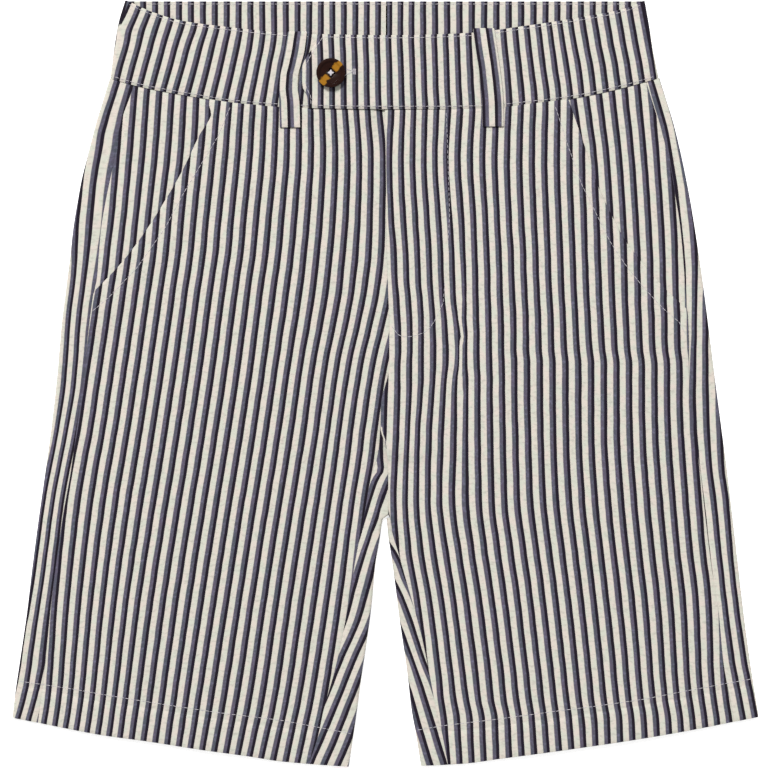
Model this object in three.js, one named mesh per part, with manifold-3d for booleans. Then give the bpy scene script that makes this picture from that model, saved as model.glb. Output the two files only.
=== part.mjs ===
// Bermuda shorts in striped seersucker, laid flat on their back panels.
// Millimetres. +X is to the right of someone looking down, +Y towards the waist, +Z up from the floor.
// "Right" and "left" in the names are the wearer's, so the right leg lies at negative X.
import * as THREE from 'three';
import { mergeVertices } from 'three/addons/utils/BufferGeometryUtils.js';
import Module from 'manifold-3d';

const wasm = await Module();
wasm.setup();

// Driving dimensions: cloth, gaps and levels
const CLOTH = 1.2;
const BAND_CLOTH = 1.8;
const SEAM_GAP = 0.3;
const PLY_GAP = 1.0;
const CROWN = 1.4;
const HEM_RELIEF = 0.3;
const CROWN_AT_WAIST = 0.4;
const CROWN_WIDTH = 45;
const POCKET_UNDERLAP = 12;
const POCKET_FADE_WIDTH = 20;
const FACING_LEAST_WIDTH = 8;
const FLY_UNDERLAP = 10;
const FLY_FADE_WIDTH = 25;
const FLY_LIFT_END = -44;
const FLY_LIFT_FADE = 8;
const LIFT_MARGIN = 4;
const TAB_MARGIN = 3;
const BACK_TOP = 206.5;
const LOOP_WIDTH = 11.5;
const LOOP_ARCH = 0.5;

// Button
const BUTTON = { x: -30, y: 167.5, radius: 7.7, height: 2.4, rim: 1.5, dish: 0.7 };
const THREAD_HOLE = { radius: 0.95, offset: 1.7 };

// The rows of the cloth, given as heights on the centre line. A row bends up towards the sides.
const ROWS = [
  148.5, 131, 113, 95, 78, 62, 46, 32.5, 22, 13, 0, -11, -22.5, -31.5, -38, -46, -58,
  -70, -82, -98, -116, -136, -154, -170, -187, -188.4, -206.5,
];
const HEM_ROW = ROWS.indexOf(-188.4);
const BAND_ROWS = [0, 0.15, 0.31, 0.58, 0.8, 1];

// The seam between the waistband and the panels, and the top edge of the front waistband
const WAIST_SEAM = [
  { x: -150, height: 165.5 }, { x: -132, height: 160.5 }, { x: -105, height: 155.5 },
  { x: -78, height: 151.5 }, { x: -36, height: 149 }, { x: 1, height: 148.5 }, { x: 49, height: 149 },
  { x: 78, height: 151.5 }, { x: 101, height: 154.5 }, { x: 127, height: 160 }, { x: 147, height: 165.5 },
];
const BAND_TOP = [
  { x: -140.5, height: BACK_TOP }, { x: -127, height: 201 }, { x: -110, height: 196 },
  { x: -88, height: 193 }, { x: -60, height: 190 }, { x: -36, height: 188.7 }, { x: 0, height: 188 },
  { x: 44, height: 189.5 }, { x: 76, height: 193.5 }, { x: 105, height: 198 },
  { x: 128, height: 202.5 }, { x: 140, height: BACK_TOP },
];

// The pointed end of the left waistband, as the X of its edge at each share of the band's height
const TAB_END = [
  { share: 0, x: -39 }, { share: 0.15, x: -41 }, { share: 0.31, x: -45.5 },
  { share: 0.58, x: -45.5 }, { share: 0.8, x: -40 }, { share: 1, x: -35.5 },
];
const BAND_UNDERLAP_END = 8;

// The centre front: X of the left front's edge, and of the right front's edge hidden under it
const CENTRE_FRONT = [
  { height: 150, lap: -1, under: 9 }, { height: 126, lap: -0.5, under: 9.5 },
  { height: 80, lap: 0, under: 10 }, { height: 46, lap: 1, under: 11 },
  { height: 33, lap: 1.5, under: 6 }, { height: 10, lap: 1.5, under: 4.5 },
  { height: -11, lap: -3, under: 0.5 }, { height: -22.5, lap: -3.5, under: -0.8 },
  { height: -31.5, lap: 0.2, under: -3.75 },
];

// Each leg, in distances outward from the centre line:
// the folded outer edge and the side seam, the inner fold and the inseam, the hem and the pocket mouth
const RIGHT = {
  name: 'right',
  side: -1,
  outer: [
    { height: 154.5, edge: 153, seam: 139 }, { height: 141.5, edge: 157, seam: 143.5 },
    { height: 122, edge: 162, seam: 148.5 }, { height: 103, edge: 166, seam: 152.5 },
    { height: 83.5, edge: 169, seam: 155.3 }, { height: 57.5, edge: 172, seam: 157.7 },
    { height: 31.5, edge: 175.3, seam: 160.5 }, { height: 5.5, edge: 177.7, seam: 163.5 },
    { height: -20.5, edge: 180.7, seam: 167 }, { height: -46.5, edge: 184, seam: 170.5 },
    { height: -72, edge: 187.5, seam: 175 }, { height: -98, edge: 191, seam: 178.7 },
    { height: -124, edge: 194.3, seam: 181.8 }, { height: -150, edge: 198, seam: 184 },
    { height: -180, edge: 201.6, seam: 188 },
  ],
  inner: [
    { height: -31.5, fold: 0.5, inseam: 3.6 }, { height: -46, fold: 0.8, inseam: 6.5 },
    { height: -58, fold: 1.1, inseam: 9.2 }, { height: -70, fold: 1.5, inseam: 11.6 },
    { height: -82, fold: 4, inseam: 14.2 }, { height: -98, fold: 6.5, inseam: 17.3 },
    { height: -116, fold: 8.5, inseam: 20 }, { height: -136, fold: 10.5, inseam: 23.8 },
    { height: -156, fold: 13.5, inseam: 28.3 }, { height: -176, fold: 16, inseam: 34 },
    { height: -190, fold: 18, inseam: 37 }, { height: -206.5, fold: 20.5, inseam: 42.5 },
  ],
  foldStart: -31.5,
  hem: [
    { out: 20.5, height: -206.5 }, { out: 47, height: -205 }, { out: 101, height: -197.5 },
    { out: 155, height: -189.5 }, { out: 202, height: -180 },
  ],
  mouth: [
    { height: 154, out: 93.5 }, { height: 147, out: 95 }, { height: 134, out: 102 },
    { height: 103, out: 118 }, { height: 82, out: 131.5 }, { height: 65, out: 145 },
    { height: 50.5, out: 158 },
  ],
  facingEnd: 22,
  bandEdge: [
    { height: 167.5, edge: 149 }, { height: 180.5, edge: 147.2 },
    { height: 193.5, edge: 145 }, { height: BACK_TOP, edge: 140.7 },
  ],
  loop: [
    { x: -49.7, height: 190.2 }, { x: -51.5, height: 179 }, { x: -53.5, height: 166 },
    { x: -53, height: 152 }, { x: -51.5, height: 138.5 },
  ],
};
const LEFT = {
  name: 'left',
  side: 1,
  outer: [
    { height: 154.5, edge: 150, seam: 143 }, { height: 141.5, edge: 154, seam: 147 },
    { height: 122, edge: 159, seam: 152.5 }, { height: 103, edge: 163, seam: 155.8 },
    { height: 83.5, edge: 166.3, seam: 158.8 }, { height: 57.5, edge: 170, seam: 161 },
    { height: 31.5, edge: 173.5, seam: 162.7 }, { height: 5.5, edge: 176.7, seam: 163.5 },
    { height: -20.5, edge: 180, seam: 165.7 }, { height: -46.5, edge: 183.5, seam: 169.5 },
    { height: -72, edge: 186.3, seam: 172.3 }, { height: -98, edge: 189, seam: 175.5 },
    { height: -124, edge: 192, seam: 179.5 }, { height: -150, edge: 196, seam: 182 },
    { height: -180, edge: 201.6, seam: 187.5 },
  ],
  inner: [
    { height: -31.5, fold: 0.2, inseam: 0.1 }, { height: -46, fold: 0.2, inseam: 0.8 },
    { height: -58, fold: 0.1, inseam: 1.3 }, { height: -70, fold: 0.1, inseam: 2.4 },
    { height: -82, fold: 0.6, inseam: 3.2 }, { height: -98, fold: 3, inseam: 8 },
    { height: -116, fold: 5.3, inseam: 12.7 }, { height: -136, fold: 8.4, inseam: 18.8 },
    { height: -156, fold: 11.2, inseam: 23 }, { height: -176, fold: 13.5, inseam: 26.8 },
    { height: -190, fold: 16, inseam: 30.2 }, { height: -206, fold: 18.5, inseam: 33.2 },
  ],
  foldStart: -70,
  hem: [
    { out: 18.5, height: -206 }, { out: 61, height: -202 }, { out: 115, height: -195.5 },
    { out: 169, height: -186 }, { out: 202, height: -180 },
  ],
  mouth: [
    { height: 154, out: 98 }, { height: 131, out: 106 }, { height: 107, out: 114 },
    { height: 91, out: 121.5 }, { height: 78, out: 128.5 }, { height: 65.5, out: 138 },
    { height: 50.5, out: 151.5 }, { height: 41, out: 161.5 },
  ],
  facingEnd: 13,
  bandEdge: [
    { height: 167.5, edge: 146.6 }, { height: 180.5, edge: 143.9 },
    { height: 193.5, edge: 141.2 }, { height: BACK_TOP, edge: 138.5 },
  ],
  loop: [
    { x: 53.5, height: 192 }, { x: 55.5, height: 179 }, { x: 57, height: 166 },
    { x: 57.5, height: 152 }, { x: 57.5, height: 139 },
  ],
};

// Levels worked out from the dimensions above
const HALF = CLOTH / 2;
const BACK_LEVEL = HALF;
const TOP_LEVEL = BACK_LEVEL + CLOTH + PLY_GAP;
const LIFT = CLOTH + SEAM_GAP;
const BAND_HALF = BAND_CLOTH / 2;
const BAND_LEVEL = TOP_LEVEL + BAND_HALF - SEAM_GAP;
const TAB_LEVEL = BAND_LEVEL + BAND_CLOTH + SEAM_GAP;

const lerp = THREE.MathUtils.lerp;
const smooth = (t) => THREE.MathUtils.smoothstep(t, 0, 1);

// A smooth curve through one column of a table, straight beyond both ends, with no overshoot between rows
function along(table, key, column, at) {
  const rows = table[0][key] < table.at(-1)[key] ? table : [...table].reverse();
  const secant = rows.slice(1).map((row, i) => (row[column] - rows[i][column]) / (row[key] - rows[i][key]));
  const last = rows.length - 1;
  const slope = rows.map((row, i) => {
    if (i === 0) return secant[0];
    if (i === last) return secant[last - 1];
    const product = secant[i - 1] * secant[i];
    return product <= 0 ? 0 : (2 * product) / (secant[i - 1] + secant[i]);
  });
  if (at <= rows[0][key]) return rows[0][column] + slope[0] * (at - rows[0][key]);
  if (at >= rows[last][key]) return rows[last][column] + slope[last] * (at - rows[last][key]);
  const i = rows.findIndex((row) => row[key] > at) - 1;
  const span = rows[i + 1][key] - rows[i][key];
  const t = (at - rows[i][key]) / span;
  const startWeight = (1 + 2 * t) * (1 - t) ** 2;
  const bend = t * (1 - t) ** 2 * span * slope[i] - t * t * (1 - t) * span * slope[i + 1];
  return startWeight * rows[i][column] + (1 - startWeight) * rows[i + 1][column] + bend;
}

const waistSeam = (x) => along(WAIST_SEAM, 'x', 'height', x);
const share = (row) => (ROWS[0] - row) / (ROWS[0] - ROWS.at(-1));

// The height of a row of cloth at one distance from the centre line
function rowHeight(leg, row, out) {
  const hem = along(leg.hem, 'out', 'height', Math.max(out, leg.hem[0].out));
  return lerp(waistSeam(leg.side * out) - SEAM_GAP / 2, hem, share(row));
}

// Where a row crosses an edge whose distance outward is a function of height
function crossing(leg, row, edge) {
  let out = edge(row);
  for (let pass = 0; pass < 8; pass += 1) out = edge(rowHeight(leg, row, out));
  return out;
}

const outerEdge = (leg) => (height) => along(leg.outer, 'height', 'edge', height);
const sideSeam = (leg) => (height) => along(leg.outer, 'height', 'seam', height);
const innerFold = (leg) => (height) => along(leg.inner, 'height', 'fold', height);
const inseam = (leg) => (height) => along(leg.inner, 'height', 'inseam', height);
const mouth = (leg) => (height) => along(leg.mouth, 'height', 'out', height);

// The inner edge of a front: at the fly and centre seam the left one laps over the right one
function frontInner(leg) {
  const column = leg === LEFT ? 'lap' : 'under';
  return (height) => {
    if (height < leg.inner[0].height) return inseam(leg)(height) + SEAM_GAP / 2;
    return leg.side * along(CENTRE_FRONT, 'height', column, height);
  };
}
function frontOuter(leg) {
  return (height) => Math.min(mouth(leg)(height), sideSeam(leg)(height) - SEAM_GAP / 2);
}

// How far the front rises over the pocket facing, the fly and its own soft crown
function frontLevel(leg, out, height) {
  const fromMouth = mouth(leg)(height) - out;
  const pocketFade = smooth((fromMouth - POCKET_UNDERLAP - LIFT_MARGIN) / POCKET_FADE_WIDTH);
  const fromInner = out - frontInner(leg)(height);
  const flyFade = smooth((fromInner - FLY_UNDERLAP - LIFT_MARGIN) / FLY_FADE_WIDTH);
  const flyEnd = smooth((height - FLY_LIFT_END) / FLY_LIFT_FADE);
  const acrossIn = smooth((fromInner - FLY_UNDERLAP) / CROWN_WIDTH);
  const acrossOut = smooth((frontOuter(leg)(height) - out) / CROWN_WIDTH);
  const down = smooth((waistSeam(leg.side * out) - height) / CROWN_WIDTH);
  const pocket = LIFT * (1 - pocketFade);
  const fly = leg === LEFT ? LIFT * flyEnd * (1 - flyFade) : 0;
  const crown = CROWN * acrossIn * acrossOut * lerp(CROWN_AT_WAIST, 1, down);
  return TOP_LEVEL + (pocket ** 4 + fly ** 4 + crown ** 4) ** 0.25;
}

// One place on a wall: its middle, and the step from the middle to its outer face
function station(x, y, z, tilt, half, inward = 1) {
  return {
    middle: new THREE.Vector3(x, y, z),
    step: new THREE.Vector3(inward * Math.cos(tilt) * half, 0, Math.sin(tilt) * half),
  };
}

// A closed wall over a grid of stations. Cells that "missing" names are left out, with edges round the rest.
function wall(grid, missing = () => false) {
  const columns = grid[0].length;
  const position = [];
  for (const row of grid) {
    for (const place of row) {
      const outer = place.middle.clone().add(place.step);
      const inner = place.middle.clone().sub(place.step);
      position.push(...outer.toArray(), ...inner.toArray());
    }
  }
  const at = (r, c, face) => 2 * (r * columns + c) + face;
  const present = (r, c) => r >= 0 && c >= 0 && r < grid.length - 1 && c < columns - 1 && !missing(r, c);
  const index = [];
  const quad = (a, b, c, d) => index.push(a, b, c, a, c, d);
  for (let r = 0; r < grid.length - 1; r += 1) {
    for (let c = 0; c < columns - 1; c += 1) {
      if (!present(r, c)) continue;
      const corners = [[r, c], [r, c + 1], [r + 1, c + 1], [r + 1, c]];
      const beyond = [[r - 1, c], [r, c + 1], [r + 1, c], [r, c - 1]];
      const outer = corners.map(([row, column]) => at(row, column, 0));
      const inner = corners.map(([row, column]) => at(row, column, 1));
      quad(...outer);
      quad(inner[0], inner[3], inner[2], inner[1]);
      beyond.forEach(([row, column], i) => {
        const next = (i + 1) % 4;
        if (!present(row, column)) quad(outer[next], outer[i], inner[i], inner[next]);
      });
    }
  }
  const geometry = new THREE.BufferGeometry();
  geometry.setAttribute('position', new THREE.Float32BufferAttribute(position, 3));
  geometry.setIndex(index);
  return facingOut(geometry);
}

// Turns the faces round if they point into the solid
function facingOut(geometry) {
  const place = geometry.getAttribute('position');
  const corner = [0, 1, 2].map(() => new THREE.Vector3());
  const order = [...geometry.getIndex().array];
  let volume = 0;
  for (let i = 0; i < order.length; i += 3) {
    corner.forEach((point, k) => point.fromBufferAttribute(place, order[i + k]));
    volume += corner[0].dot(corner[1].cross(corner[2]));
  }
  if (volume < 0) geometry.setIndex(order.reverse());
  geometry.computeVertexNormals();
  return geometry;
}

const steps = (count) => Array.from({ length: count + 1 }, (_, i) => i / count);
const UP = Math.PI / 2;
// Where an underside's stations lie between its inner and outer ends, the same for panels and waistband
const UNDERSIDE = [0.18, 0.36, 0.52, 0.66, 0.78, 0.89];
const FOLD_TURN = steps(4).map((t) => lerp(-UP, UP, t));

// A back panel: flat on the floor, folded up round the outer edge to the side seam
// and, below the crotch, round the inner edge to the inseam
function backPanel(leg) {
  const radius = (TOP_LEVEL - BACK_LEVEL) / 2;
  const reach = radius + HALF;
  const folded = (row) => row <= leg.foldStart;
  const grid = ROWS.map((row, rowIndex) => {
    const inner = folded(row) ? crossing(leg, row, innerFold(leg)) + reach : SEAM_GAP / 2;
    const inseamEdge = folded(row) ? crossing(leg, row, inseam(leg)) - SEAM_GAP / 2 : inner;
    const outer = crossing(leg, row, outerEdge(leg)) - reach;
    const seamEdge = crossing(leg, row, sideSeam(leg)) + SEAM_GAP / 2;
    const relief = rowIndex >= HEM_ROW ? HEM_RELIEF : 0;
    const place = (out, z, tilt, inward, rise = 0) => {
      const height = rowHeight(leg, row, out);
      return station(leg.side * out, height, z + rise / 2, tilt, HALF + rise / 2, inward * leg.side);
    };
    return [
      ...steps(2).slice(0, 2).map((t) => place(lerp(inseamEdge, inner, t), TOP_LEVEL, UP, 1, relief)),
      ...[...FOLD_TURN].reverse().map((turn) => {
        const z = BACK_LEVEL + radius + radius * Math.sin(turn);
        return place(inner - radius * Math.cos(turn), z, turn, -1);
      }),
      ...UNDERSIDE.map((t) => place(lerp(inner, outer, t), BACK_LEVEL, -UP, 1)),
      ...FOLD_TURN.map((turn) => {
        const z = BACK_LEVEL + radius + radius * Math.sin(turn);
        return place(outer + radius * Math.cos(turn), z, turn, 1);
      }),
      ...steps(2).slice(1).map((t) => place(lerp(outer, seamEdge, t), TOP_LEVEL, UP, 1, relief)),
    ];
  });
  const innerColumns = 2 + FOLD_TURN.length - 1;
  return wall(grid, (r, c) => c < innerColumns && !folded(ROWS[r]));
}

// A front panel, from the inseam or fly across to the side seam or pocket mouth
function frontPanel(leg) {
  const grid = ROWS.map((row, rowIndex) => {
    const inner = crossing(leg, row, frontInner(leg));
    const outer = crossing(leg, row, frontOuter(leg));
    const relief = rowIndex >= HEM_ROW ? HEM_RELIEF : 0;
    return steps(12).map((t) => {
      const out = lerp(inner, outer, t);
      const height = rowHeight(leg, row, out);
      const z = frontLevel(leg, out, height) + relief / 2;
      return station(leg.side * out, height, z, UP, HALF + relief / 2);
    });
  });
  return wall(grid);
}

// The pocket facing: under the front past the mouth, and sewn to the back at the side seam
function pocketFacing(leg) {
  const grid = ROWS.filter((row) => row >= leg.facingEnd).map((row) => {
    const outer = crossing(leg, row, (height) => sideSeam(leg)(height) - SEAM_GAP / 2);
    const underlap = crossing(leg, row, (height) => mouth(leg)(height) - POCKET_UNDERLAP);
    const inner = Math.min(underlap, outer - FACING_LEAST_WIDTH);
    return steps(4).map((t) => {
      const out = lerp(inner, outer, t);
      return station(leg.side * out, rowHeight(leg, row, out), TOP_LEVEL, UP, HALF);
    });
  });
  return wall(grid);
}

// The level of the front waistband: the left one passes over the end of the right one
function bandLevel(leg, x) {
  if (leg === RIGHT) return BAND_LEVEL;
  const past = smooth((x - BAND_UNDERLAP_END - TAB_MARGIN) / FLY_FADE_WIDTH);
  return lerp(TAB_LEVEL, BAND_LEVEL, past);
}

// Half of the waistband: from centre back round the side to its end at the front
function waistband(leg) {
  const radius = (BAND_LEVEL - BAND_HALF) / 2;
  const reach = radius + BAND_HALF;
  const front = (x) => along(BAND_TOP, 'x', 'height', x);
  const grid = BAND_ROWS.map((part) => {
    const heightAt = (out, top) => lerp(waistSeam(leg.side * out) + SEAM_GAP / 2, top, part);
    let edge = leg.bandEdge[0].edge;
    for (let pass = 0; pass < 6; pass += 1) {
      edge = along(leg.bandEdge, 'height', 'edge', heightAt(edge, BACK_TOP));
    }
    const outer = edge - reach;
    const end = leg === LEFT ? along(TAB_END, 'share', 'x', part) : -BAND_UNDERLAP_END;
    const place = (out, top, z, tilt) => {
      return station(leg.side * out, heightAt(out, top), z, tilt, BAND_HALF, leg.side);
    };
    return [
      ...[0, ...UNDERSIDE].map((t) => place(lerp(SEAM_GAP / 2, outer, t), BACK_TOP, BAND_HALF, -UP)),
      ...FOLD_TURN.map((turn) => {
        const top = turn > 0 ? front(leg.side * outer) : BACK_TOP;
        const z = BAND_HALF + radius + radius * Math.sin(turn);
        return place(outer + radius * Math.cos(turn), top, z, turn);
      }),
      ...steps(16).slice(1).map((t) => {
        const out = lerp(outer, end, t);
        const x = leg.side * out;
        return place(out, front(x), bandLevel(leg, x), UP);
      }),
    ];
  });
  return wall(grid);
}

// A belt loop: a strip that lies over the waistband, sewn down at its top edge and just below its seam
function beltLoop(leg) {
  const grid = steps(8).map((t) => {
    const height = lerp(leg.loop[0].height, leg.loop.at(-1).height, t);
    const middle = along(leg.loop, 'height', 'x', height);
    const onBand = smooth((height - waistSeam(middle)) / 3);
    const arch = Math.sin(Math.PI * t) * LOOP_ARCH;
    const panelTop = frontLevel(leg, Math.abs(middle), height) + HALF;
    const bandTop = bandLevel(leg, middle) + BAND_HALF;
    const z = Math.max(panelTop, lerp(panelTop, bandTop, onBand)) + SEAM_GAP + HALF + arch;
    return steps(2).map((across) => {
      return station(middle + (across - 0.5) * LOOP_WIDTH, height, z, UP, HALF);
    });
  });
  return wall(grid);
}

function asManifold(geometry) {
  const bare = geometry.clone();
  bare.deleteAttribute('normal');
  bare.deleteAttribute('uv');
  const merged = mergeVertices(bare);
  const vertProperties = new Float32Array(merged.getAttribute('position').array);
  const triVerts = new Uint32Array(merged.getIndex().array);
  return new wasm.Manifold(new wasm.Mesh({ numProp: 3, vertProperties, triVerts }));
}

// The button: a turned disc with a raised rim, a shallow dish and four thread holes
function button() {
  const { radius, height, rim, dish } = BUTTON;
  const profile = [
    [0, 0], [radius - 1.4, 0], [radius, 0.9], [radius, height - 0.6], [radius - 0.5, height],
    [radius - rim, height], [radius - rim - 0.9, height - dish], [0, height - dish],
  ];
  const disc = new THREE.LatheGeometry(profile.map(([r, z]) => new THREE.Vector2(r, z)), 32);
  disc.rotateX(Math.PI / 2);
  let solid = asManifold(disc);
  for (const [sideX, sideY] of [[1, 0], [0, 1], [-1, 0], [0, -1]]) {
    const hole = new THREE.CylinderGeometry(THREAD_HOLE.radius, THREAD_HOLE.radius, 3 * height, 10);
    hole.rotateX(Math.PI / 2);
    hole.translate(sideX * THREAD_HOLE.offset, sideY * THREAD_HOLE.offset, 0);
    solid = solid.subtract(asManifold(hole));
  }
  const cut = solid.getMesh();
  const geometry = new THREE.BufferGeometry();
  geometry.setAttribute('position', new THREE.BufferAttribute(cut.vertProperties, 3));
  geometry.setIndex([...cut.triVerts]);
  geometry.computeVertexNormals();
  return geometry;
}

const seersucker = new THREE.MeshStandardMaterial({ color: 0xaaa69f, roughness: 0.9, metalness: 0 });
const tortoiseshell = new THREE.MeshStandardMaterial({ color: 0x3a2118, roughness: 0.3, metalness: 0 });

const shorts = new THREE.Group();
function add(name, geometry, material) {
  const mesh = new THREE.Mesh(geometry, material);
  mesh.name = name;
  shorts.add(mesh);
  return mesh;
}

for (const leg of [RIGHT, LEFT]) {
  add(`back_${leg.name}`, backPanel(leg), seersucker);
  add(`front_${leg.name}`, frontPanel(leg), seersucker);
  add(`pocket_facing_${leg.name}`, pocketFacing(leg), seersucker);
  add(`waistband_${leg.name}`, waistband(leg), seersucker);
  add(`belt_loop_${leg.name}`, beltLoop(leg), seersucker);
}
const fastener = add('button', button(), tortoiseshell);
fastener.position.set(BUTTON.x, BUTTON.y, TAB_LEVEL + BAND_HALF + SEAM_GAP);

export default shorts;
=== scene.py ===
import math

import bpy
import numpy as np
from mathutils.bvhtree import BVHTree
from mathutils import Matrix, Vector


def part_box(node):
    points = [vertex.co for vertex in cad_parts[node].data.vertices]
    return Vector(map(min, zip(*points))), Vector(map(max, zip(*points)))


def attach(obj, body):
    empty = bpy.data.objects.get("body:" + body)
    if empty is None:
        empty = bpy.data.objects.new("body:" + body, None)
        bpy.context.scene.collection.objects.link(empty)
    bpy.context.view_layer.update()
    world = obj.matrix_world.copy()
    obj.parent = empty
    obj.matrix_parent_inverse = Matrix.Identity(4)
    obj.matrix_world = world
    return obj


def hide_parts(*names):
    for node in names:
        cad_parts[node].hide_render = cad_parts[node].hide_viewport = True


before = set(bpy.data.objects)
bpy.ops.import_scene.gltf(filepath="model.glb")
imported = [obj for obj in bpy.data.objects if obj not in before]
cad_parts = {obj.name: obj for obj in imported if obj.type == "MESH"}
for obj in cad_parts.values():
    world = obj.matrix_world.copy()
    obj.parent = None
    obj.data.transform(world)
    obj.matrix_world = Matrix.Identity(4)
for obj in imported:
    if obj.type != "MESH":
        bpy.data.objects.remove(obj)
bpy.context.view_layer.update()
bpy.ops.object.select_all(action="DESELECT")

# Sizes are in millimetres until MM turns them to metres. "Right" and "left" are the wearer's,
# so the right leg lies at negative X.
MM = 0.001


# Camera, floor and light. The photo looks straight down on flat shorts from far enough for their edges to stay
# upright. They lie on white, in soft light from all round with a little more from above the waist.
FRAME_WIDTH = 414.7
FRAME_CENTRE = (-1.4, 0.2)
CLOTH_TOP = 3
LENS, SENSOR = 100, 36

camera = bpy.data.objects.new("camera", bpy.data.cameras.new("camera"))
bpy.context.scene.collection.objects.link(camera)
bpy.context.scene.camera = camera
camera.data.lens, camera.data.sensor_width = LENS, SENSOR
camera.data.clip_start, camera.data.clip_end = 0.01, 20
camera.location = (FRAME_CENTRE[0] * MM, FRAME_CENTRE[1] * MM, (CLOTH_TOP + FRAME_WIDTH * LENS / SENSOR) * MM)


def linear(code):
    """A colour's sRGB hex value as the linear one that a shader takes"""
    parts = [int(code[i:i + 2], 16) / 255 for i in (0, 2, 4)]
    return tuple(p / 12.92 if p <= 0.04045 else ((p + 0.055) / 1.055) ** 2.4 for p in parts) + (1,)


def add_node(material, kind, inputs=None, **settings):
    """Adds a node with its settings, and fills its inputs with values or links them"""
    new = material.node_tree.nodes.new(kind)
    for name, value in settings.items():
        setattr(new, name, value)
    for socket, value in (inputs or {}).items():
        if isinstance(value, bpy.types.NodeSocket):
            material.node_tree.links.new(value, new.inputs[socket])
        else:
            new.inputs[socket].default_value = value
    return new


# Opal acrylic, lit from beneath: plain white with hardly a shadow on it, and a faint tooth
acrylic = bpy.data.materials.new("opal_acrylic_light_table")
acrylic.use_nodes = True
shader = acrylic.node_tree.nodes["Principled BSDF"]
shader.inputs["Base Color"].default_value = linear("f4f4f4")
shader.inputs["Roughness"].default_value = 0.8
shader.inputs["Specular IOR Level"].default_value = 0.2
shader.inputs["Emission Color"].default_value = linear("ffffff")
shader.inputs["Emission Strength"].default_value = 0.6
tooth = add_node(acrylic, "ShaderNodeTexNoise", {"Scale": 900.0})
grain = add_node(acrylic, "ShaderNodeBump", {"Height": tooth.outputs["Fac"], "Strength": 0.05, "Distance": 0.0001})
acrylic.node_tree.links.new(grain.outputs["Normal"], shader.inputs["Normal"])

bpy.ops.mesh.primitive_plane_add(size=6, location=(0, 0, 0))
floor = bpy.context.object
floor.name = "floor"
floor.data.materials.append(acrylic)

world = bpy.data.worlds.new("studio")
world.use_nodes = True
world.node_tree.nodes["Background"].inputs["Color"].default_value = linear("ffffff")
world.node_tree.nodes["Background"].inputs["Strength"].default_value = 0.5
bpy.context.scene.world = world
# Its distance makes it as bright at the hems as at the waist
lamp = bpy.data.objects.new("soft_light", bpy.data.lights.new("soft_light", "AREA"))
bpy.context.scene.collection.objects.link(lamp)
lamp.data.shape, lamp.data.size, lamp.data.energy = "DISK", 1.6, 455
lamp.location = (-1.3, 3.6, 5.2)
lamp.rotation_euler = (math.radians(-33), math.radians(-13), 0)
bpy.context.scene.view_settings.view_transform = "Standard"


# Seersucker: cotton woven with warp stripes of cream, slate and near-black in 6.6 mm repeats. The eye sees matt
# cloth with a soft sheen, uneven yarn colour along each stripe, and faint thicker yarns across the cream.
REPEAT = 6.6
SLATE_FROM, DARK_FROM = 0.45, 0.735
CREAM_WARM, CREAM_COOL, CREAM_SLUB = linear("c9bfb5"), linear("bfc0b3"), linear("a4a198")
SLATE_VIOLET, SLATE_BLUE, SLATE_SLUB = linear("554e5e"), linear("494d57"), linear("666478")
DARK_NAVY, DARK_BROWN = linear("161024"), linear("1c1519")

seersucker = bpy.data.materials.new("yarn_dyed_cotton_seersucker")
seersucker.use_nodes = True
shader = seersucker.node_tree.nodes["Principled BSDF"]
shader.inputs["Roughness"].default_value = 0.88
shader.inputs["Sheen Weight"].default_value = 0.02
shader.inputs["Sheen Roughness"].default_value = 0.5
shader.inputs["Specular IOR Level"].default_value = 0.15
stripes = add_node(seersucker, "ShaderNodeUVMap", uv_map="stripes").outputs["UV"]
split = add_node(seersucker, "ShaderNodeSeparateXYZ", {"Vector": stripes})


def cloth_noise(across, along_cloth, detail=2.0):
    """Noise with so many waves a repeat across the stripes and along them"""
    stretched = add_node(seersucker, "ShaderNodeMapping",
                         {"Vector": stripes, "Scale": (across, along_cloth, 1.0)})
    return add_node(seersucker, "ShaderNodeTexNoise",
                    {"Vector": stretched.outputs["Vector"], "Scale": 1.0, "Detail": detail}).outputs["Fac"]


# Each edge between colours wanders by less than a yarn, 0.1 mm, and a repeat starts just past its dark edge
wander = add_node(seersucker, "ShaderNodeMapRange", {
    "Value": cloth_noise(0.5, 0.6, 1.0), "From Min": 0.3, "From Max": 0.7, "To Min": -0.049, "To Max": -0.021})
count = add_node(seersucker, "ShaderNodeMath", {0: split.outputs["X"], 1: wander.outputs["Result"]},
                 operation="ADD")
place = add_node(seersucker, "ShaderNodeMath", {0: count.outputs["Value"]}, operation="FRACT").outputs["Value"]
left_cream = add_node(seersucker, "ShaderNodeMapRange", {
    "Value": place, "From Min": SLATE_FROM - 0.03, "From Max": SLATE_FROM + 0.03})
back_to_cream = add_node(seersucker, "ShaderNodeMapRange", {
    "Value": place, "From Min": 0.97, "From Max": 1.0, "To Min": 1.0, "To Max": 0.0})
coloured = add_node(seersucker, "ShaderNodeMath", {
    0: left_cream.outputs["Result"], 1: back_to_cream.outputs["Result"]}, operation="MULTIPLY")
in_dark = add_node(seersucker, "ShaderNodeMapRange", {
    "Value": place, "From Min": DARK_FROM - 0.03, "From Max": DARK_FROM + 0.03})


def blend(factor, first, second):
    """One colour mixed into another"""
    return add_node(seersucker, "ShaderNodeMix", {0: factor, 6: first, 7: second}, data_type="RGBA").outputs[2]


def sharpened(noise, low, high):
    """Noise stretched so that it reaches both ends between low and high"""
    return add_node(seersucker, "ShaderNodeMapRange",
                    {"Value": noise, "From Min": low, "From Max": high}).outputs["Result"]


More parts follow.
